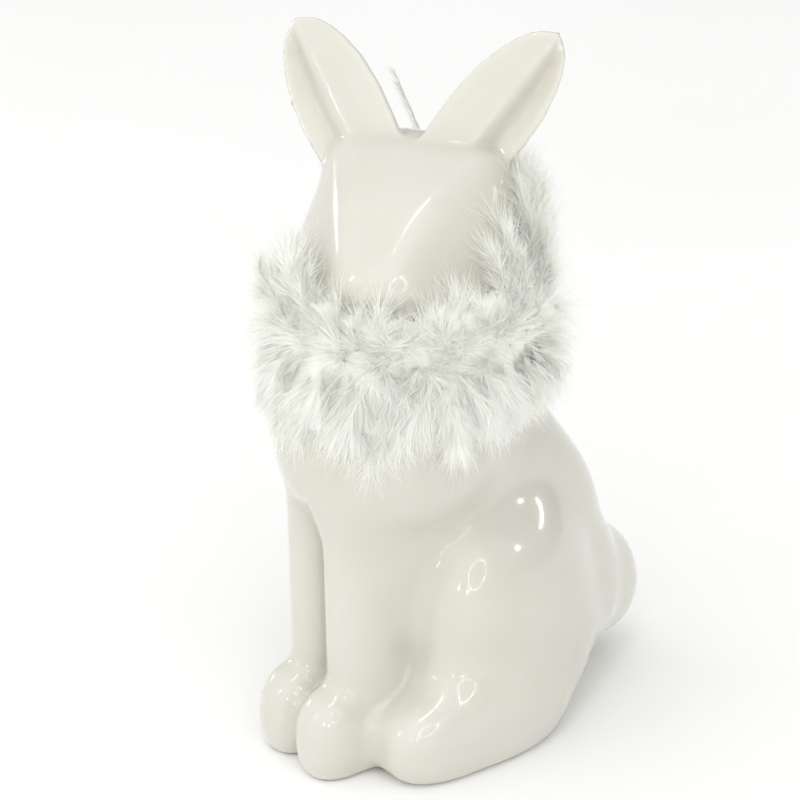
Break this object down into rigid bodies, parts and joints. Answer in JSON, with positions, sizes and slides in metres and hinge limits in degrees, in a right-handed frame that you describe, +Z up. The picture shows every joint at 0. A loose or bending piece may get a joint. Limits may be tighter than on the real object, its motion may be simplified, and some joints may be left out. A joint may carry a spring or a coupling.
{
  "type": "ceramic rabbit figurine",
  "caption": "Sitting rabbit ornament in glossy ivory glazed ceramic, head turned to one side, with a fluffy white plume collar tied round the neck.",
  "frame": {"origin": "on the flat base, under the middle of the body, at the foot of the vertical line X = 0, Y = 0", "axes": "+Z up, the rabbit's body faces -Y and its left side is +X; the head is turned to its left"},
  "size_m": [0.1005, 0.1431, 0.2271],
  "materials": {
    "glaze": "glossy ivory glaze, unglazed on the flat base",
    "cord": "twisted cotton cord",
    "plume": "soft down plumes, cool white",
    "quill": "smooth feather quill with a narrow vane"
  },
  "bodies": {
    "rabbit": {"ceramic_body": "glaze"},
    "collar": {"collar_cord": "cord", "collar_knot": "cord", "upper_plumes": "plume", "lower_plumes": "plume", "loose_quill": "quill"}
  },
  "joints": [
    {"name": "collar_turn", "type": "hinge", "parent": "rabbit", "child": "collar", "pos_m": [0, -0.021, 0.1419], "axis": [0, 0, 1], "range_deg": [-20, 20]}
  ]
}
